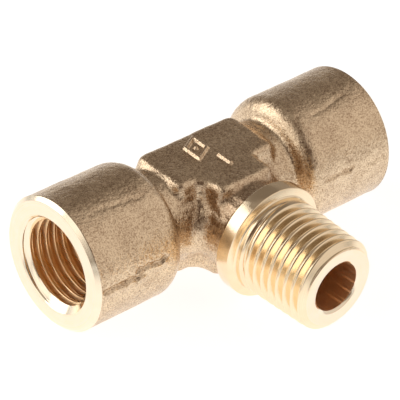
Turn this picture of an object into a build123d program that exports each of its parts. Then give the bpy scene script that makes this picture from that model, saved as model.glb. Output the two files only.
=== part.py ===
from build123d import *
from math import hypot, radians, tan
import os

# Brass tee fitting: two female ports in line, one male taper thread at the side.
# A closed-die brass forging, machined at its three ends and drilled through.
# X runs along the two female ports, the male branch points to -Y, +Z is up.
# The origin is where the run axis and the branch axis cross. Lengths are in mm.

# Forged run
run_half = 25.75            # from the branch axis to each port face
collar_radius = 9.35        # round collar over each female port
collar_length = 12.35       # full-radius part of a collar, from the port face inwards
run_tube_radius = 6.7       # waist between the two collars

# Forged branch
branch_tube_radius = 6.6    # waist between the run and the turned band
band_radius = 7.93          # turned band behind the thread
band_start = 11.41          # from the run axis to the band's rear edge
band_width = 2.03
band_face_lean = 0.3        # how far the band's front face leans towards the thread
crotch_share = 0.6          # forged radius in the corners of run and branch, of the room there

# Flat T-shaped pads, one above and one below
pad_height = 7.2            # from the run axis to each pad
pad_half_length = 8.3       # along the run, from the branch axis
pad_back = 4.5              # from the run axis to the pad's rear edge
pad_front = 4.2             # from the run axis to the pad's front edge, beside its stem
stem_half_width = 4.45
stem_reach = 8.1            # from the run axis to the stem's end
pad_draft = 15              # lean of the pad's sides, in degrees
pad_sink = 5.4              # how deep the pad's sides run, into the tubes

# Rounding of the pads, each as a share of another size
corner_share = 0.29         # outer corners seen from above, of the notch beside the stem
full_crotch_share = 0.6     # inner corner towards -X, of the notch beside the stem
sharp_crotch_share = 0.23   # inner corner towards +X, of the notch beside the stem
rim_share = 0.85            # rounded rim, of the outer corners

# Male taper thread, quarter-inch size: the solid is the cone over its crests
branch_length = 25.6        # from the run axis to the end face
gauge_radius = 6.579        # crest radius at the gauge plane
gauge_length = 6.0          # from the end face back to the gauge plane
thread_taper = 1 / 32       # growth of the radius for each mm of length
thread_end_radius = 5.43    # flat end face
thread_chamfer = 0.6        # length of the chamfer at the thread's start
branch_bore_radius = 3.45
bore_lip = 0.43             # how much wider the bore's mouth is
bore_lip_depth = 0.2

# Female ports, quarter-inch parallel thread: the hole is the thread's minor size
port_radius = 5.8
port_depth = 12.6           # drilled length at the minor size
port_sink = 1.05            # countersink, 45 degrees
collar_chamfer = 0.55       # chamfer round the port face, 45 degrees
drill_tip_angle = 118       # in degrees
run_bore_radius = 4.25      # passage between the ports

# Worked out from the sizes above
shoulder = collar_radius - run_tube_radius
collar_start = run_half - collar_length
shoulder_foot = collar_start - shoulder
band_rise = band_radius - branch_tube_radius
rise_foot = band_start - band_rise
crotch_room = min(shoulder_foot - branch_tube_radius, rise_foot - run_tube_radius)
crotch_blend = crotch_share * crotch_room
band_end = band_start + band_width
thread_root = band_end + band_face_lean
pad_notch = min(pad_half_length - stem_half_width, stem_reach - pad_front)
pad_corner = corner_share * pad_notch
pad_rim = rim_share * pad_corner
match_gap = 0.01            # an edge this near to a surface lies on it


def crest_radius(distance):
    """Radius over the taper thread's crests, at a distance from the run axis."""
    from_end = branch_length - distance
    return gauge_radius + (from_end - gauge_length) * thread_taper


def run_forging():
    """Both collars with their rounded shoulders, and the waist between them."""
    with BuildPart() as run:
        with BuildSketch(Plane.XY):
            with BuildLine():
                Polyline((0, 0), (0, run_tube_radius), (shoulder_foot, run_tube_radius))
                RadiusArc((shoulder_foot, run_tube_radius), (collar_start, collar_radius), shoulder)
                Polyline(
                    (collar_start, collar_radius),
                    (run_half - collar_chamfer, collar_radius),
                    (run_half, collar_radius - collar_chamfer),
                    (run_half, 0),
                    (0, 0),
                )
            make_face()
        revolve(axis=Axis.X)
        mirror(about=Plane.YZ)
    return run.part


def branch_forging():
    """Branch tube, rise to the turned band, and the cone over the male thread."""
    thread_start = branch_length - thread_chamfer
    with BuildPart() as branch:
        with BuildSketch(Plane.XY):
            with BuildLine():
                Polyline((0, 0), (branch_tube_radius, 0), (branch_tube_radius, -rise_foot))
                RadiusArc((branch_tube_radius, -rise_foot), (band_radius, -band_start), -band_rise)
                Polyline(
                    (band_radius, -band_start),
                    (band_radius, -band_end),
                    (crest_radius(thread_root), -thread_root),
                    (crest_radius(thread_start), -thread_start),
                    (thread_end_radius, -branch_length),
                    (0, -branch_length),
                    (0, 0),
                )
            make_face()
        revolve(axis=Axis.Y)
    return branch.part


def in_crotch(edge):
    """True for the edge where the run tube and the branch tube meet."""
    middle = edge @ 0.5
    off_run = abs(hypot(middle.Y, middle.Z) - run_tube_radius)
    off_branch = abs(hypot(middle.X, middle.Z) - branch_tube_radius)
    return off_run < match_gap and off_branch < match_gap


def pad():
    """Upper T-shaped pad: drafted sides, blended corners and a rounded rim."""
    with BuildPart() as raised:
        with BuildSketch(Plane.XY.offset(pad_height)) as outline:
            with Locations((0, (pad_back - pad_front) / 2)):
                Rectangle(2 * pad_half_length, pad_back + pad_front)
            with Locations((0, -stem_reach / 2)):
                Rectangle(2 * stem_half_width, stem_reach)
            inner = outline.vertices().filter_by(is_pad_crotch).sort_by(Axis.X)
            fillet(inner[0], full_crotch_share * pad_notch)
            fillet(inner[-1], sharp_crotch_share * pad_notch)
            outer = outline.vertices().filter_by(is_pad_corner)
            fillet(outer, pad_corner)
        extrude(amount=-pad_sink, taper=-pad_draft)
        fillet(raised.faces().sort_by(Axis.Z)[-1].edges(), pad_rim)
    return raised.part


def is_pad_crotch(vertex):
    """True for an inner corner of the T, where the stem leaves the bar."""
    on_stem = abs(abs(vertex.X) - stem_half_width) < match_gap
    return on_stem and abs(vertex.Y + pad_front) < match_gap


def is_pad_corner(vertex):
    """True for an outer corner of the T."""
    at_end = abs(abs(vertex.X) - pad_half_length) < match_gap
    return at_end or abs(vertex.Y + stem_reach) < match_gap


def passages():
    """Tapping holes with countersink and drill tip, run passage and branch bore."""
    tip = (port_radius - run_bore_radius) / tan(radians(drill_tip_angle / 2))
    with BuildPart() as holes:
        with BuildSketch(Plane.XY):
            Polygon(
                (0, 0),
                (0, run_bore_radius),
                (run_half - port_depth - tip, run_bore_radius),
                (run_half - port_depth, port_radius),
                (run_half - port_sink, port_radius),
                (run_half, port_radius + port_sink),
                (run_half, 0),
                align=None,
            )
        revolve(axis=Axis.X)
        mirror(about=Plane.YZ)
        with BuildSketch(Plane.XY):
            Polygon(
                (0, 0),
                (branch_bore_radius, 0),
                (branch_bore_radius, -branch_length + bore_lip_depth),
                (branch_bore_radius + bore_lip, -branch_length),
                (0, -branch_length),
                align=None,
            )
        revolve(axis=Axis.Y)
    return holes.part


def tee_body():
    """The whole fitting, one solid."""
    tubes = run_forging() + branch_forging()
    tubes = fillet(tubes.edges().filter_by(in_crotch), crotch_blend)
    upper = pad()
    lower = upper.mirror(Plane.XY)
    return tubes + upper + lower - passages()


def write_part(name, solid):
    """Writes one piece of the fitting to its own file."""
    os.makedirs("parts", exist_ok=True)
    solid.label = name
    export_step(solid, f"parts/{name}.step")


write_part("tee_body", tee_body())
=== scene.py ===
import bpy
import bmesh
import math
from mathutils import Matrix, Vector, noise


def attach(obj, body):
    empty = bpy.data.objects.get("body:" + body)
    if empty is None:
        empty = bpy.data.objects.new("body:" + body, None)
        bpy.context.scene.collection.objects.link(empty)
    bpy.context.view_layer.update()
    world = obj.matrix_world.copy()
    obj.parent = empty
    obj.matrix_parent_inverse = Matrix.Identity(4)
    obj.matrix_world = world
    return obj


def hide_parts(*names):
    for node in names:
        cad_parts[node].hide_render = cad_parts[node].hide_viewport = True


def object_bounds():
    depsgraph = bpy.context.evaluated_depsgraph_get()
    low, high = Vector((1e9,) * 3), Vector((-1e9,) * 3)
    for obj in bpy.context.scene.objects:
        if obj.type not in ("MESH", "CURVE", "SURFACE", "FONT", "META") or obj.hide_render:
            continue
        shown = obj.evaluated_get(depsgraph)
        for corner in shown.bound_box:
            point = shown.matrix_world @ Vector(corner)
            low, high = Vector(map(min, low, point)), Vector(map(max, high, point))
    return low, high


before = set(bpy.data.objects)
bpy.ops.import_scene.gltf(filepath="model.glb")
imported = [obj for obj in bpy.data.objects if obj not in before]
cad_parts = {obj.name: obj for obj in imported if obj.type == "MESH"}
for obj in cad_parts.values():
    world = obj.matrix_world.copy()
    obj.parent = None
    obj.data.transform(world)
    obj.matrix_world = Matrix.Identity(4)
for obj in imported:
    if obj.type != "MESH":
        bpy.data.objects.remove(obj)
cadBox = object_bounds()
mm = 0.001                                # sizes below are in mm, unless a note says metres
closeBy = 0.004                           # a point this near to a cut lies on it


def nodesOf(owner):
    owner.use_nodes = True
    tree = owner.node_tree
    tree.nodes.clear()
    return tree.nodes, tree.links


def plug(links, value, socket):
    # a socket is linked, a number or a colour is set
    if isinstance(value, bpy.types.NodeSocket):
        links.new(value, socket)
    elif isinstance(value, tuple) and len(value) == 3 and socket.type == "RGBA":
        socket.default_value = (*value, 1)
    else:
        socket.default_value = value


def count(nodes, links, kind, first, second=0.0):
    made = nodes.new("ShaderNodeMath")
    made.operation = kind
    plug(links, first, made.inputs[0])
    plug(links, second, made.inputs[1])
    return made.outputs[0]


def remap(nodes, links, value, fromMin, fromMax, toMin, toMax, soft=False):
    made = nodes.new("ShaderNodeMapRange")
    made.interpolation_type = "SMOOTHSTEP" if soft else "LINEAR"
    plug(links, value, made.inputs["Value"])
    made.inputs["From Min"].default_value = fromMin
    made.inputs["From Max"].default_value = fromMax
    made.inputs["To Min"].default_value = toMin
    made.inputs["To Max"].default_value = toMax
    return made.outputs[0]


def blendColours(nodes, links, share, first, second):
    made = nodes.new("ShaderNodeMix")
    made.data_type = "RGBA"
    plug(links, share, made.inputs["Factor"])
    # the node has plain sockets of the same names, so the coloured ones are picked
    coloured = {socket.name: socket for socket in made.inputs if socket.type == "RGBA"}
    plug(links, first, coloured["A"])
    plug(links, second, coloured["B"])
    return [socket for socket in made.outputs if socket.type == "RGBA"][0]


# camera, floor and light
cameraSet = {
    "right": (0.7492, -0.6602, 0.0519),
    "back": (-0.5616, -0.5919, 0.5781),   # from the fitting to the camera
    "target": (-0.752, -0.296, 0.0),
    "distance": 339.5,
    "lens": 231.31,
    "film": 36,
    "shift": (-0.00278, -0.00648),
    "reach": (0.01, 20),                  # nearest and furthest thing seen, metres
}


def placeCamera():
    lensData = bpy.data.cameras.new("camera")
    lensData.lens = cameraSet["lens"]
    lensData.sensor_width = cameraSet["film"]
    lensData.shift_x, lensData.shift_y = cameraSet["shift"]
    lensData.clip_start, lensData.clip_end = cameraSet["reach"]
    camera = bpy.data.objects.new("camera", lensData)
    bpy.context.collection.objects.link(camera)
    right = Vector(cameraSet["right"]).normalized()
    back = Vector(cameraSet["back"])
    back = (back - right * back.dot(right)).normalized()
    turn = Matrix((right, back.cross(right), back)).transposed().to_4x4()
    spot = (Vector(cameraSet["target"]) + back * cameraSet["distance"]) * mm
    camera.matrix_world = Matrix.Translation(spot) @ turn
    bpy.context.scene.camera = camera


studio = {
    "floorSize": 3.0,                     # metres
    "floorCells": 8,
    "floorColour": (0.55, 0.55, 0.55),
    "floorGlow": 0.82,
    "floorFade": (0.03, 0.20, 0.30),      # metres off the middle, and what is left of the reflected glow
    "sky": (0.29, 0.25, 0.215),
    "patches": [                          # direction, how near to it the patch starts and is full, colour
        ((0.62, -0.70, 0.35), 0.35, 0.85, (0.76, 0.69, 0.63)),      # pale wall in front, to the right
        ((-0.90, 0.0, 0.43), 0.80, 0.95, (1.2, 1.15, 1.08)),        # pale panel to the left
        ((-0.52, -0.64, 0.56), 0.80, 0.95, (0.10, 0.06, 0.04)),     # dark corner in front, to the left
        ((0.36, 0.56, 0.74), 0.86, 0.97, (0.195, 0.163, 0.137)),    # shade high behind
    ],
    "horizon": (1.0, 1.0, 1.0),
    "horizonHeight": (0.12, 0.02),        # where the pale horizon starts and is full
    "front": ((0.55, -0.83, 0.05), 0.6, 0.9),
    "frontShare": 0.15,                   # what is left of the horizon there
    "boxDirection": (-0.53, 0.70, 0.48),
    "boxDistance": 0.5,                   # metres
    "boxSize": (0.36, 0.42),              # metres
    "boxEnergy": 0.80,
}


def layFloor():
    bm = bmesh.new()
    cells = studio["floorCells"]
    bmesh.ops.create_grid(bm, x_segments=cells, y_segments=cells, size=studio["floorSize"] / 2)
    bmesh.ops.translate(bm, verts=bm.verts, vec=(0, 0, cadBox[0].z))
    data = bpy.data.meshes.new("floor")
    bm.to_mesh(data)
    bm.free()
    floor = bpy.data.objects.new("floor", data)
    bpy.context.collection.objects.link(floor)
    paper = bpy.data.materials.new("paleFloor")
    nodes, links = nodesOf(paper)
    path = nodes.new("ShaderNodeLightPath")
    place = nodes.new("ShaderNodeTexCoord")
    off = nodes.new("ShaderNodeVectorMath")
    off.operation = "LENGTH"
    links.new(place.outputs["Object"], off.inputs[0])
    near, far, left = studio["floorFade"]
    fade = remap(nodes, links, off.outputs["Value"], near, far, 1.0, left, soft=True)
    # the camera sees all of the glow, and a reflection less of it further off
    mirrored = count(nodes, links, "MAXIMUM", path.outputs["Is Glossy Ray"], path.outputs["Is Transmission Ray"])
    mirrored = count(nodes, links, "MULTIPLY", mirrored, fade)
    seen = count(nodes, links, "MAXIMUM", path.outputs["Is Camera Ray"], mirrored)
    matt = nodes.new("ShaderNodeBsdfDiffuse")
    plug(links, studio["floorColour"], matt.inputs["Color"])
    glow = nodes.new("ShaderNodeEmission")
    plug(links, count(nodes, links, "MULTIPLY", seen, studio["floorGlow"]), glow.inputs["Strength"])
    both = nodes.new("ShaderNodeAddShader")
    end = nodes.new("ShaderNodeOutputMaterial")
    links.new(matt.outputs[0], both.inputs[0])
    links.new(glow.outputs[0], both.inputs[1])
    links.new(both.outputs[0], end.inputs["Surface"])
    data.materials.append(paper)


def towards(nodes, links, direction, way, start, full):
    # 1 where a direction of the air is near the given way
    dot = nodes.new("ShaderNodeVectorMath")
    dot.operation = "DOT_PRODUCT"
    links.new(direction, dot.inputs[0])
    dot.inputs[1].default_value = Vector(way).normalized()
    return remap(nodes, links, dot.outputs["Value"], start, full, 0.0, 1.0, soft=True)


def hangLights():
    lamp = bpy.data.lights.new("softBox", "AREA")
    lamp.shape = "RECTANGLE"
    lamp.size, lamp.size_y = studio["boxSize"]
    lamp.energy = studio["boxEnergy"]
    box = bpy.data.objects.new("softBox", lamp)
    bpy.context.collection.objects.link(box)
    way = Vector(studio["boxDirection"]).normalized()
    turn = way.to_track_quat("Z", "Y").to_matrix().to_4x4()
    box.matrix_world = Matrix.Translation(way * studio["boxDistance"]) @ turn
    box.visible_camera = False


def fillAir():
    world = bpy.data.worlds.new("studioAir")
    bpy.context.scene.world = world
    nodes, links = nodesOf(world)
    direction = nodes.new("ShaderNodeTexCoord").outputs["Generated"]
    height = nodes.new("ShaderNodeSeparateXYZ")
    links.new(direction, height.inputs[0])
    air = studio["sky"]
    for way, start, full, colour in studio["patches"]:
        air = blendColours(nodes, links, towards(nodes, links, direction, way, start, full), air, colour)
    low = remap(nodes, links, height.outputs["Z"], *studio["horizonHeight"], 0.0, 1.0, soft=True)
    front = towards(nodes, links, direction, *studio["front"])
    low = count(nodes, links, "MULTIPLY", low, remap(nodes, links, front, 0.0, 1.0, 1.0, studio["frontShare"]))
    air = blendColours(nodes, links, low, air, studio["horizon"])
    back = nodes.new("ShaderNodeBackground")
    end = nodes.new("ShaderNodeOutputWorld")
    links.new(air, back.inputs["Color"])
    links.new(back.outputs[0], end.inputs["Surface"])


placeCamera()
layFloor()
hangLights()
fillAir()
bpy.context.scene.view_settings.view_transform = "Standard"
print("camera, floor and light are up")


# mesh helpers: all of the fitting is made in mm and scaled at the end
skinLook, turnedLook, threadLook, tappedLook, boreLook = range(5)


def cutOff(bm, spot, way, clear=True):
    bmesh.ops.bisect_plane(bm, geom=bm.verts[:] + bm.edges[:] + bm.faces[:], dist=1e-5,
                           plane_co=spot, plane_no=way, clear_outer=clear)


def keepPart(bm, first):
    # leaves only what hangs together with this vertex
    found = {first}
    front = [first]
    while front:
        for edge in front.pop().link_edges:
            for vert in edge.verts:
                if vert not in found:
                    found.add(vert)
                    front.append(vert)
    bmesh.ops.delete(bm, geom=[vert for vert in bm.verts if vert not in found], context="VERTS")


def addPart(whole, part):
    carrier = bpy.data.meshes.new("carrier")
    part.to_mesh(carrier)
    part.free()
    whole.from_mesh(carrier)
    bpy.data.meshes.remove(carrier)


def paint(bm, look):
    for face in bm.faces:
        face.material_index = look


def openEdges(bm, index, value):
    return [edge for edge in bm.edges if edge.is_boundary
            and all(abs(vert.co[index] - value) < closeBy for vert in edge.verts)]


def growRing(bm, edges, index, look, stations):
    # pulls an open ring through stations of (along, radius), as a lathe tool would go
    for along, radius in stations:
        made = bmesh.ops.extrude_edge_only(bm, edges=edges)["geom"]
        fresh = {item for item in made if isinstance(item, bmesh.types.BMVert)}
        edges = [item for item in made if isinstance(item, bmesh.types.BMEdge) and set(item.verts) <= fresh]
        for vert in fresh:
            spot = vert.co.copy()
            spot[index] = 0
            spot *= radius / spot.length
            spot[index] = along
            vert.co = spot
        for item in made:
            if isinstance(item, bmesh.types.BMFace):
                item.material_index = look


def joinRings(bm, index, first, second, look):
    rings = openEdges(bm, index, first) + openEdges(bm, index, second)
    for face in bmesh.ops.bridge_loops(bm, edges=rings)["faces"]:
        face.material_index = look


def clamp(value, low=0.0, high=1.0):
    return max(low, min(high, value))


def ease(value, start, end):
    share = clamp((value - start) / (end - start))
    return share * share * (3 - 2 * share)


def angleRound(spot):
    # degrees round the run, from the top towards the branch
    return math.degrees(math.atan2(-spot.y, spot.z))


# forged skin
forging = {
    "cell": 0.28,                         # remesh cell
    "rounds": 4,                          # smoothing passes
    "collar": 9.35,                       # radius
    "inset": 0.01,                        # how far the skin's rims and sides stay inside the round sizes
    "portCut": 25.2,                      # where the turned chamfer starts
    "portFade": 0.7,                      # the unevenness runs out over this length before it
    "bandCut": 11.41,                     # where the turned band starts
    "wave": (0.07, 3.2),                  # depth and size of the long unevenness
    "pebble": (0.035, 0.8),               # depth and size of the short one
    "crumble": (0.11, 0.9),               # depth and size of the one between run and branch
    "corner": ((5.6, 6.6), (3.5, 5.0), (8.0, 10.0)),    # its limits upwards, forwards and sideways
}

flash = {
    "lines": [
        # start and end along the run, angle from the top towards the branch, height, raggedness
        (-25.6, -17.9, 86.0, 0.32, 0.16),
        (-19.4, -14.4, 81.5, 0.32, 0.22),
        (13.4, 18.8, 81.0, 0.20, 0.20),
        (21.0, 25.2, 84.0, 0.10, 0.20),
        (-25.6, -13.8, -90.0, 0.07, 0.15),
        (13.8, 25.6, -90.0, 0.07, 0.15),
        (-10.6, 10.6, -90.0, 0.07, 0.15),
    ],
    "ends": (0.4, 0.6),                   # a line fades in from before its start to after it
    "stray": 1.1,                         # how fast a line wanders, per mm
    "wear": (0.9, 0.4, 1.6),              # how fast its height changes, per mm, by how much, and contrast
    "ledge": ((-0.12, 0.16), (0.3, 1.4)),     # where the ledge rises and falls, across the line
    "groove": (0.9, 0.26, 0.22),          # depth as a share of the height, distance above the line, width
    "reach": 2.5,
    "fineSpans": ((-25.2, -13.5), (13.0, 19.5)),
    "fineAngles": (74, 94),
}

seams = {
    "lines": [
        # start and end along the run, start and end angle, depth
        (-22.8, -13.6, 20, 27, 0.10),
        (13.6, 22.8, 27, 17, 0.09),
    ],
    "stray": (0.7, 2.2),                  # how fast a seam wanders, per mm, and how far, in degrees
    "ends": 0.2,                          # share of the length over which it fades
    "width": 0.25,
}

mark = {
    "height": 0.36,
    "stroke": (0.08, 0.44),               # half widths of a ridge, at its top and at its foot
    "ring": ((-0.9, 1.1), 1.2, 28.0),     # a slanted square: middle, half width, slant in degrees
    "bar": ((0.5, -1.9), (0.5, -4.1)),
    "area": ((-2.7, 1.1), (-4.7, 3.6)),
    "floor": 6.8,                         # just under the pad
}


def flashLift(spot):
    angle = angleRound(spot)
    radius = math.hypot(spot.y, spot.z)
    before, after = flash["ends"]
    wearSpeed, wearDepth, wearContrast = flash["wear"]
    rise, fall = flash["ledge"]
    grooveShare, grooveAbove, grooveWidth = flash["groove"]
    lift = 0.0
    for start, end, middle, height, ragged in flash["lines"]:
        if not start - before < spot.x < end + before:
            continue
        stray = noise.noise(Vector((spot.x * flash["stray"], middle, 0.0))) * 2 * ragged
        below = math.radians(angle - middle) * radius + stray
        if abs(below) > flash["reach"]:
            continue
        fade = ease(spot.x, start - before, start + after) * (1 - ease(spot.x, end - after, end + before))
        worn = clamp(0.5 + wearContrast * noise.noise(Vector((spot.x * wearSpeed, 7.3, middle))))
        fade *= 1 - wearDepth + wearDepth * worn
        ledge = ease(below, *rise) * (1 - ease(below, *fall))
        groove = grooveShare * math.exp(-((below + grooveAbove) / grooveWidth) ** 2)
        lift += height * fade * (ledge - groove)
    return lift


def seamDip(spot):
    angle = angleRound(spot)
    speed, swing = seams["stray"]
    dip = 0.0
    for start, end, first, last, depth in seams["lines"]:
        if start < spot.x < end:
            share = (spot.x - start) / (end - start)
            middle = first + (last - first) * share + swing * noise.noise(Vector((spot.x * speed, 3.1, 0)))
            away = math.radians(angle - middle) * forging["collar"]
            fade = ease(share, 0, seams["ends"]) * (1 - ease(share, 1 - seams["ends"], 1))
            dip += depth * fade * math.exp(-(away / seams["width"]) ** 2)
    return dip


def onMark(spot):
    (left, right), (front, rear) = mark["area"]
    return spot.z > mark["floor"] and left < spot.x < right and front < spot.y < rear


def markLift(spot):
    if not onMark(spot):
        return 0.0
    (cx, cy), half, slant = mark["ring"]
    slant = math.radians(slant)
    across = (spot.y - cy) * math.cos(slant) - (spot.x - cx) * math.sin(slant)
    ring = abs(max(abs(spot.x - cx), abs(across)) - half)
    dot = math.hypot(spot.x - cx, spot.y - cy)
    start, end = (Vector(point) for point in mark["bar"])
    along = end - start
    point = Vector((spot.x, spot.y))
    bar = (point - start - along * clamp((point - start).dot(along) / along.length_squared)).length
    return mark["height"] * (1 - ease(min(ring, bar, dot), *mark["stroke"]))


def onFlash(spot):
    least, most = flash["fineAngles"]
    return any(start < spot.x < end for start, end in flash["fineSpans"]) and least < angleRound(spot) < most


def onDetail(spot):
    return onMark(spot) or onFlash(spot)


def copyOfSolid(node):
    bm = bmesh.new()
    bm.from_mesh(node.data)
    bmesh.ops.scale(bm, vec=(1 / mm,) * 3, verts=bm.verts)
    bmesh.ops.remove_doubles(bm, verts=bm.verts, dist=0.001)
    return bm


def evenMesh(solid):
    # an even net of small faces over the solid
    rough = bpy.data.meshes.new("roughSkin")
    solid.to_mesh(rough)
    solid.free()
    helper = bpy.data.objects.new("roughSkin", rough)
    bpy.context.collection.objects.link(helper)
    grid = helper.modifiers.new("grid", "REMESH")
    grid.mode = "VOXEL"
    grid.voxel_size = forging["cell"]
    grid.adaptivity = 0
    even = bpy.data.meshes.new_from_object(helper.evaluated_get(bpy.context.evaluated_depsgraph_get()))
    bpy.data.objects.remove(helper)
    bm = bmesh.new()
    bm.from_mesh(even)
    return bm


def skinLift(spot):
    # how far the forged skin stands out from the solid; the fixed vectors only shift a pattern
    waveDepth, waveSize = forging["wave"]
    pebbleDepth, pebbleSize = forging["pebble"]
    crumbleDepth, crumbleSize = forging["crumble"]
    low, ahead, beside = forging["corner"]
    inCorner = (1 - ease(spot.z, *low)) * ease(-spot.y, *ahead) * (1 - ease(abs(spot.x), *beside))
    lift = -waveDepth * clamp(0.5 + noise.noise(spot / waveSize))
    lift -= pebbleDepth * clamp(0.5 + noise.noise(spot / pebbleSize + Vector((9, 4, 2))))
    lift -= crumbleDepth * inCorner * clamp(0.5 + noise.noise(spot / crumbleSize + Vector((1, 7, 5))))
    lift += flashLift(spot) - seamDip(spot) + markLift(spot)
    portCut = forging["portCut"]
    return lift * (1 - ease(abs(spot.x), portCut - forging["portFade"], portCut))


def forgedSkin(node):
    portCut, bandCut = forging["portCut"], forging["bandCut"]
    collar = forging["collar"] - forging["inset"]
    band = male["bandRadius"] - 2 * forging["inset"]
    bm = evenMesh(copyOfSolid(node))
    cutOff(bm, (portCut, 0, 0), (1, 0, 0))
    cutOff(bm, (-portCut, 0, 0), (-1, 0, 0))
    cutOff(bm, (0, -bandCut, 0), (0, -1, 0))
    keepPart(bm, max(bm.verts, key=lambda vert: vert.co.z))
    inner = [vert for vert in bm.verts if not vert.is_boundary]
    for each in range(forging["rounds"]):
        bmesh.ops.smooth_vert(bm, verts=inner, factor=0.5, use_axis_x=True, use_axis_y=True, use_axis_z=True)
    for area in (onDetail, onMark):       # the mark is divided twice
        near = [edge for edge in bm.edges if not edge.is_boundary and all(area(vert.co) for vert in edge.verts)]
        bmesh.ops.subdivide_edges(bm, edges=near, cuts=1, use_grid_fill=True)
    bm.normal_update()
    moves = [vert.normal * skinLift(vert.co) for vert in bm.verts]
    for vert, move in zip(bm.verts, moves):
        spot = vert.co
        if not vert.is_boundary:
            vert.co += move
            vert.co.y = min(vert.co.y, collar)
        elif abs(spot.x) > portCut / 2:
            spot.y, spot.z = Vector((spot.y, spot.z)).normalized() * collar
        else:
            spot.x, spot.z = Vector((spot.x, spot.z)).normalized() * band
    paint(bm, skinLook)
    print("forged skin:", len(bm.faces), "faces")
    return bm


# threads and turned ends
threadForm = {
    "pitch": 1.337,
    "depth": 0.856,
    "flank": 27.5,                        # degrees, each side
    "round": 0.1836,                      # radius at crest and root
    "rows": (0, 0.10, 0.17, 0.20, 0.475, 0.505, 0.58, 0.6685),      # off the groove's middle
    "steps": (72, 96),                    # round one turn, female and male
}

male = {
    "start": 13.85, "end": 25.6,          # from the run axis
    "turns": 11, "strip": 6.5,            # turns and radius of the strip that is shaped
    "gaugeRadius": 6.579, "gaugeLength": 6.0, "taper": 1 / 32,
    "endRadius": 5.43, "chamfer": 0.6,
    "groove": 14.79, "grooveAngle": 45,   # middle of the first groove
    "runOut": (-53, 89),                  # degrees along the helix over which the groove deepens
    "root": 13.74,                        # where the crest line meets the band
    "relief": ((13.80, 0.01), (13.73, 0.08), (13.67, 0.28)),        # from the run axis, over the crest line
    "bandRadius": 7.93, "bandEnd": 13.44,
    "bandFront": ((0.01, 0.10), (-0.02, 0.03), (-0.09, 0.0)),       # past the band's end, below its radius
    "bandRear": ((0.08, 0.0), (0.04, 0.015)),                       # past its start, below its radius
    "edge": 0.06,
    "bore": 3.45, "lip": 0.43, "lipDepth": 0.2,
    "lipEdge": (0.02, 0.03), "mouthEdge": (0.07, 0.04),             # along the bore, and off it
    "boreRings": (22, 18, 14, 8.4),       # from the run axis
}

female = {
    "face": 25.75, "minor": 5.8, "threadMinor": 5.723,
    "turns": 12, "strip": 6.2,            # turns and radius of the strip that is shaped
    "mouth": 0.05,                        # the strip starts this far behind the face
    "sink": 1.05, "end": 11.95,           # countersink and thread, from the face
    "fade": (8.6, 11.8),                  # depth over which the groove runs out
    "crest": {-1: (-23.34, -135), 1: (22.9, 30)},       # a crest's place along the run, and its angle
    "edge": 0.06,
    "chamfer": 0.55,
    "rim": ((0.015, 0.0), (0.06, 0.05), (0.50, 0.49)),  # behind the face, over the chamfer's small end
}

crossing = {"run": 13.4, "branch": 8.0}   # how far the drilled crossing is taken from the solid


def grooveRise(away):
    # height over the groove's floor at a distance from its middle
    form = threadForm
    half = form["pitch"] / 2
    lean = math.radians(form["flank"])
    arcHalf = form["round"] * math.cos(lean)
    arcRise = form["round"] * (1 - math.sin(lean))
    away = min(abs(away), half)
    if away < arcHalf:
        return form["round"] - math.sqrt(form["round"] ** 2 - away ** 2)
    if away < half - arcHalf:
        return arcRise + (away - arcHalf) / math.tan(lean)
    return form["depth"] - form["round"] + math.sqrt(max(form["round"] ** 2 - (half - away) ** 2, 0))


def helixStrip(index, startAt, turns, radius, way):
    # one pitch of rows, screwed along the run (0) or the branch (1); way is the sign of the advance
    form = threadForm
    bm = bmesh.new()
    row = []
    for away in sorted({side * step for step in form["rows"] for side in (-1, 1)}):
        spot = Vector((0, 0, radius))
        spot[index] = startAt + way * away
        row.append(bm.verts.new(spot))
    line = [bm.edges.new(pair) for pair in zip(row, row[1:])]
    steps = form["steps"][index]
    advance = Vector()
    advance[index] = way * form["pitch"] / steps
    axis = (1, 0, 0) if index == 0 else (0, -1, 0)
    bmesh.ops.spin(bm, geom=row + line, cent=(0, 0, 0), axis=axis, dvec=advance, angle=2 * math.pi * turns,
                   steps=steps * turns, use_merge=False, use_normal_flip=False, use_duplicate=False)
    bmesh.ops.remove_doubles(bm, verts=bm.verts, dist=0.002)
    return bm


def crestRadius(along):
    return male["gaugeRadius"] + (male["end"] - along - male["gaugeLength"]) * male["taper"]


def maleRadius(turnsOn, angle, along):
    # the nearer of two grooves counts, each less deep where it runs out
    pitch, depth = threadForm["pitch"], threadForm["depth"]
    outStart, outEnd = male["runOut"]
    rise = depth
    for groove in (math.floor(turnsOn), math.floor(turnsOn) + 1):
        full = clamp((360 * groove + angle - outStart) / (outEnd - outStart))
        rise = min(rise, grooveRise((turnsOn - groove) * pitch) + (1 - full) * depth)
    radius = crestRadius(along) - depth + rise
    fromEnd = male["end"] - along
    if fromEnd < male["chamfer"]:
        top = crestRadius(male["end"] - male["chamfer"])
        radius = min(radius, male["endRadius"] + (top - male["endRadius"]) * fromEnd / male["chamfer"])
    return radius


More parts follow.
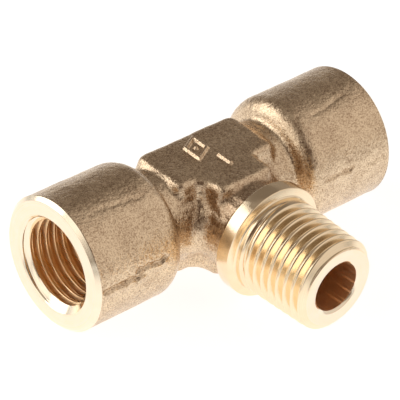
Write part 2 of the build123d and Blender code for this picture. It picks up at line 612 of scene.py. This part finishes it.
def maleEnd():
    pitch = threadForm["pitch"]
    start, end = male["start"], male["end"]
    atTop = -male["groove"] + pitch * male["grooveAngle"] / 360
    bm = helixStrip(1, atTop + 2 * pitch, male["turns"], male["strip"], -1)
    cutOff(bm, (0, -start, 0), (0, 1, 0))
    cutOff(bm, (0, -end, 0), (0, -1, 0))
    for share in (1, 0.75, 0.5, 0.25):
        cutOff(bm, (0, -end + share * male["chamfer"], 0), (0, -1, 0), clear=False)
    for vert in bm.verts:
        x, y, z = vert.co
        angle = math.degrees(math.atan2(-x, z)) - male["grooveAngle"]
        turnsOn = (-y - male["groove"]) / pitch - angle / 360
        scale = maleRadius(turnsOn, angle, -y) / math.hypot(x, z)
        vert.co = (x * scale, y, z * scale)
    paint(bm, threadLook)
    # backwards over the band
    root, band = crestRadius(male["root"]), male["bandRadius"]
    bandStart, bandEnd = forging["bandCut"], male["bandEnd"]
    relief = [(-along, root + over) for along, over in male["relief"]]
    front = [(-bandEnd - past, band - under) for past, under in male["bandFront"]]
    rear = [(-bandStart - past, band - under) for past, under in male["bandRear"]]
    middle = [((-bandEnd - bandStart) / 2, band)]
    growRing(bm, openEdges(bm, 1, -start), 1, threadLook, relief + front + middle + rear)
    # inwards over the end face and down the bore
    bore, outer = male["bore"], male["endRadius"]
    lip = bore + male["lip"]
    lipAlong, lipOff = male["lipEdge"]
    mouthAlong, mouthOff = male["mouthEdge"]
    mouth = -end + male["lipDepth"] + mouthAlong
    growRing(bm, openEdges(bm, 1, -end), 1, turnedLook, [
        (-end, outer - male["edge"]), (-end, (lip + outer) / 2), (-end, lip + lipOff), (-end + lipAlong, lip),
        (-end + male["lipDepth"], bore + mouthOff), (mouth, bore)])
    growRing(bm, openEdges(bm, 1, mouth), 1, boreLook, [(-along, bore) for along in male["boreRings"]])
    return bm


def femaleEnd(side):
    pitch, depth = threadForm["pitch"], threadForm["depth"]
    crestAt, crestAngle = female["crest"][side]
    groove = crestAt + pitch / 2 - pitch * crestAngle / 360      # middle of a groove, at the top
    face = side * female["face"]
    mouth, inner = face - side * female["mouth"], face - side * female["end"]
    low, high = min(mouth, inner), max(mouth, inner)
    first = groove + pitch * (math.floor((low - groove) / pitch) - 1)
    bm = helixStrip(0, first, female["turns"], female["strip"], 1)
    cutOff(bm, (high, 0, 0), (1, 0, 0))
    cutOff(bm, (low, 0, 0), (-1, 0, 0))
    for share in (1, 0.66, 0.33):
        cutOff(bm, (face - side * share * female["sink"], 0, 0), (1, 0, 0), clear=False)
    fadeStart, fadeEnd = female["fade"]
    for vert in bm.verts:
        x, y, z = vert.co
        inside = female["face"] - abs(x)
        turnsOn = (x - groove) / pitch - math.degrees(math.atan2(-y, z)) / 360
        away = (turnsOn - round(turnsOn)) * pitch
        full = 1 - clamp((inside - fadeStart) / (fadeEnd - fadeStart))
        radius = female["threadMinor"] + full * depth - grooveRise(away)
        radius = max(radius, female["minor"], female["minor"] + female["sink"] - inside)
        scale = radius / math.hypot(y, z)
        vert.co = (x, y * scale, z * scale)
    paint(bm, tappedLook)
    for each in bm.faces:
        if female["face"] - abs(each.calc_center_median().x) < female["sink"]:
            each.material_index = turnedLook
    # outwards over the face, and down its chamfer
    rim, outer, edge = female["minor"] + female["sink"], forging["collar"] - female["chamfer"], female["edge"]
    stations = [(face, rim + edge), (face, (rim + outer) / 2), (face, outer - edge)]
    stations += [(face - side * behind, outer + over) for behind, over in female["rim"]]
    growRing(bm, openEdges(bm, 0, mouth), 0, turnedLook, stations)
    return bm


def passages(node):
    # the drilled crossing, from the solid's own surface
    bm = copyOfSolid(node)
    cutOff(bm, (crossing["run"], 0, 0), (1, 0, 0))
    cutOff(bm, (-crossing["run"], 0, 0), (-1, 0, 0))
    cutOff(bm, (0, -crossing["branch"], 0), (0, -1, 0))
    keepPart(bm, min(bm.verts, key=lambda vert: math.hypot(vert.co.y, vert.co.z)))
    paint(bm, boreLook)
    return bm


sharpAngle = 38                           # degrees


def teeMesh(node):
    whole = bmesh.new()
    for part in (forgedSkin(node), femaleEnd(-1), femaleEnd(1), maleEnd(), passages(node)):
        addPart(whole, part)
    print("parts are made")
    chamferEnd = female["face"] - female["rim"][-1][0]
    for side in (-1, 1):
        joinRings(whole, 0, side * forging["portCut"], side * chamferEnd, turnedLook)
        joinRings(whole, 0, side * (female["face"] - female["end"]), side * crossing["run"], boreLook)
    joinRings(whole, 1, -forging["bandCut"], -forging["bandCut"] - male["bandRear"][-1][0], threadLook)
    joinRings(whole, 1, -male["boreRings"][-1], -crossing["branch"], boreLook)
    for each in whole.faces:
        each.smooth = True
    bmesh.ops.recalc_face_normals(whole, faces=whole.faces)
    print("open edges:", sum(edge.is_boundary for edge in whole.edges), "triangles:",
          sum(len(each.verts) - 2 for each in whole.faces))
    bmesh.ops.scale(whole, vec=(mm, mm, mm), verts=whole.verts)
    data = bpy.data.meshes.new("teeFitting")
    whole.to_mesh(data)
    whole.free()
    data.set_sharp_from_angle(angle=math.radians(sharpAngle))
    return data


tee = bpy.data.objects.new("teeFitting", teeMesh(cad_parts["tee_body"]))
bpy.context.collection.objects.link(tee)
print("mesh is made")


# finishes
def finish(name, colour, roughness):
    made = bpy.data.materials.new(name)
    nodes, links = nodesOf(made)
    shader = nodes.new("ShaderNodeBsdfPrincipled")
    end = nodes.new("ShaderNodeOutputMaterial")
    links.new(shader.outputs[0], end.inputs["Surface"])
    shader.inputs["Base Color"].default_value = (*colour, 1)
    shader.inputs["Metallic"].default_value = 1
    shader.inputs["Roughness"].default_value = roughness
    return made, nodes, links, shader


def inMillimetres(nodes, links):
    place = nodes.new("ShaderNodeTexCoord")
    sized = nodes.new("ShaderNodeMapping")
    sized.inputs["Scale"].default_value = (1 / mm,) * 3
    links.new(place.outputs["Object"], sized.inputs["Vector"])
    return sized.outputs["Vector"]


def axesOf(nodes, links, vector):
    split = nodes.new("ShaderNodeSeparateXYZ")
    links.new(vector, split.inputs[0])
    return split.outputs


def speckle(nodes, links, vector, scale, detail, rough=0.5):
    made = nodes.new("ShaderNodeTexNoise")
    links.new(vector, made.inputs["Vector"])
    made.inputs["Scale"].default_value = scale
    made.inputs["Detail"].default_value = detail
    made.inputs["Roughness"].default_value = rough
    return made.outputs["Fac"]


def raised(nodes, links, shader, height, depth, under=None):
    made = nodes.new("ShaderNodeBump")
    made.inputs["Strength"].default_value = 1.0
    made.inputs["Distance"].default_value = depth * mm
    links.new(height, made.inputs["Height"])
    if under:
        links.new(under, made.inputs["Normal"])
    links.new(made.outputs["Normal"], shader.inputs["Normal"])
    return made.outputs["Normal"]


forgedLook = {
    "pale": (0.91, 0.72, 0.50), "deep": (0.42, 0.285, 0.18),
    "roughness": (0.22, 0.36),
    "grain": 5.4, "grainDepth": 0.03,     # per mm, mm
    "grit": 2.1, "gritDepth": 0.09,
    "cloud": 0.35,                        # per mm
    "fineShare": (0.33, 0.58, 0.0, 0.9),  # what each pattern adds to the pale share
    "gritShare": (0.35, 0.65, -0.1, 0.2),
    "cloudShare": (0.3, 0.7, -0.2, 0.15),
    "paintedShade": 0.42,                        # how much painted shade darkens it between run and branch
    "paintedShadeSide": (6.5, 9.5), "paintedShadeFront": (-3.6, -5.6), "paintedShadeTop": (7.1, 6.3), "paintedShadeFoot": (-2.0, 2.0),
}


def paintedShadeShare(nodes, links, place):
    # 1 in the corners between run and branch, on the upper side, where shade is painted into the colour
    look = forgedLook
    x, y, z = axesOf(nodes, links, place)
    beside = remap(nodes, links, count(nodes, links, "ABSOLUTE", x), *look["paintedShadeSide"], 1.0, 0.0, soft=True)
    ahead = remap(nodes, links, y, *look["paintedShadeFront"], 0.0, 1.0, soft=True)
    under = remap(nodes, links, z, *look["paintedShadeTop"], 0.0, 1.0, soft=True)
    over = remap(nodes, links, z, *look["paintedShadeFoot"], 0.0, 1.0, soft=True)
    return count(nodes, links, "MULTIPLY", count(nodes, links, "MULTIPLY", beside, ahead),
                 count(nodes, links, "MULTIPLY", under, over))


def forgedBrass():
    look = forgedLook
    made, nodes, links, shader = finish("forgedBrass", look["pale"], look["roughness"][1])
    place = inMillimetres(nodes, links)
    fine = speckle(nodes, links, place, look["grain"], 2.0, 0.6)
    grit = speckle(nodes, links, place, look["grit"], 2.0, 0.6)
    cloud = speckle(nodes, links, place, look["cloud"], 3.0)
    share = remap(nodes, links, fine, *look["fineShare"])
    share = count(nodes, links, "ADD", share, remap(nodes, links, grit, *look["gritShare"]))
    share = count(nodes, links, "ADD", share, remap(nodes, links, cloud, *look["cloudShare"]))
    # painted shade: the corners between run and branch are made darker in colour
    paintedShade = count(nodes, links, "MULTIPLY", paintedShadeShare(nodes, links, place), look["paintedShade"])
    share = count(nodes, links, "SUBTRACT", share, paintedShade)
    links.new(blendColours(nodes, links, share, look["deep"], look["pale"]), shader.inputs["Base Color"])
    gritFrom, gritTo = look["gritShare"][:2]
    links.new(remap(nodes, links, grit, gritFrom, gritTo, *look["roughness"]), shader.inputs["Roughness"])
    coarse = raised(nodes, links, shader, grit, look["gritDepth"])
    raised(nodes, links, shader, fine, look["grainDepth"], coarse)
    return made


latheLook = {
    "feed": 2.3,                          # how much more the pattern changes along the axis than across
    "portSide": 10.0,                     # further out along the run it is turned about the run
    "detail": 3.0,
    "cloud": 0.6, "cloudDetail": 2.0,     # per mm
    "range": (0.3, 0.7),                  # of a pattern
    "ringShare": (0.0, 0.7), "cloudShare": (0.0, 0.4),
    "gloss": (0.7, 1.3),                  # least and most roughness, of the given one
}


def lathed(name, pale, deep, roughness, fine, depth):
    # rings left by the tool: a pattern that runs only along the turned profile
    look = latheLook
    made, nodes, links, shader = finish(name, pale, roughness)
    place = inMillimetres(nodes, links)
    x, y, z = axesOf(nodes, links, place)
    squares = [count(nodes, links, "MULTIPLY", axis, axis) for axis in (x, y, z)]
    roundRun = count(nodes, links, "SQRT", count(nodes, links, "ADD", squares[1], squares[2]))
    roundBranch = count(nodes, links, "SQRT", count(nodes, links, "ADD", squares[0], squares[2]))
    alongRun = count(nodes, links, "ADD", count(nodes, links, "MULTIPLY", x, look["feed"]), roundRun)
    alongBranch = count(nodes, links, "ADD", count(nodes, links, "MULTIPLY", y, look["feed"]), roundBranch)
    atPort = count(nodes, links, "GREATER_THAN", count(nodes, links, "ABSOLUTE", x), look["portSide"])
    atBranch = count(nodes, links, "SUBTRACT", 1.0, atPort)
    along = count(nodes, links, "ADD", count(nodes, links, "MULTIPLY", alongRun, atPort),
                  count(nodes, links, "MULTIPLY", alongBranch, atBranch))
    rings = nodes.new("ShaderNodeTexNoise")
    rings.noise_dimensions = "1D"
    rings.inputs["Scale"].default_value = fine
    rings.inputs["Detail"].default_value = look["detail"]
    links.new(along, rings.inputs["W"])
    ringed = rings.outputs["Fac"]
    cloud = speckle(nodes, links, place, look["cloud"], look["cloudDetail"])
    share = count(nodes, links, "ADD", remap(nodes, links, ringed, *look["range"], *look["ringShare"]),
                  remap(nodes, links, cloud, *look["range"], *look["cloudShare"]))
    links.new(blendColours(nodes, links, share, pale, deep), shader.inputs["Base Color"])
    smooth, rough = (roughness * each for each in look["gloss"])
    links.new(remap(nodes, links, ringed, *look["range"], smooth, rough), shader.inputs["Roughness"])
    raised(nodes, links, shader, ringed, depth)
    return made


# turned finishes: pale and deep colour, roughness, rings per mm, their depth
finishes = [
    forgedBrass(),
    lathed("turnedBrass", (0.985, 0.88, 0.70), (0.96, 0.81, 0.60), 0.17, 6.0, 0.006),
    lathed("threadBrass", (0.99, 0.84, 0.61), (0.96, 0.76, 0.51), 0.15, 7.0, 0.006),
    # tapped and bore brass: brass's own colour, made more orange than the turned brass as partly painted light,
    # standing in for light bounced between the walls inside
    lathed("tappedBrass", (1.0, 0.76, 0.46), (1.0, 0.66, 0.36), 0.30, 7.0, 0.006),
    lathed("boreBrass", (1.0, 0.72, 0.46), (1.0, 0.62, 0.34), 0.42, 4.0, 0.012),
]
for made in finishes:
    tee.data.materials.append(made)
flats = tee.modifiers.new("flats", "WEIGHTED_NORMAL")
flats.keep_sharp = True

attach(tee, "root")
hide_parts("tee_body")
print("finishes are on")
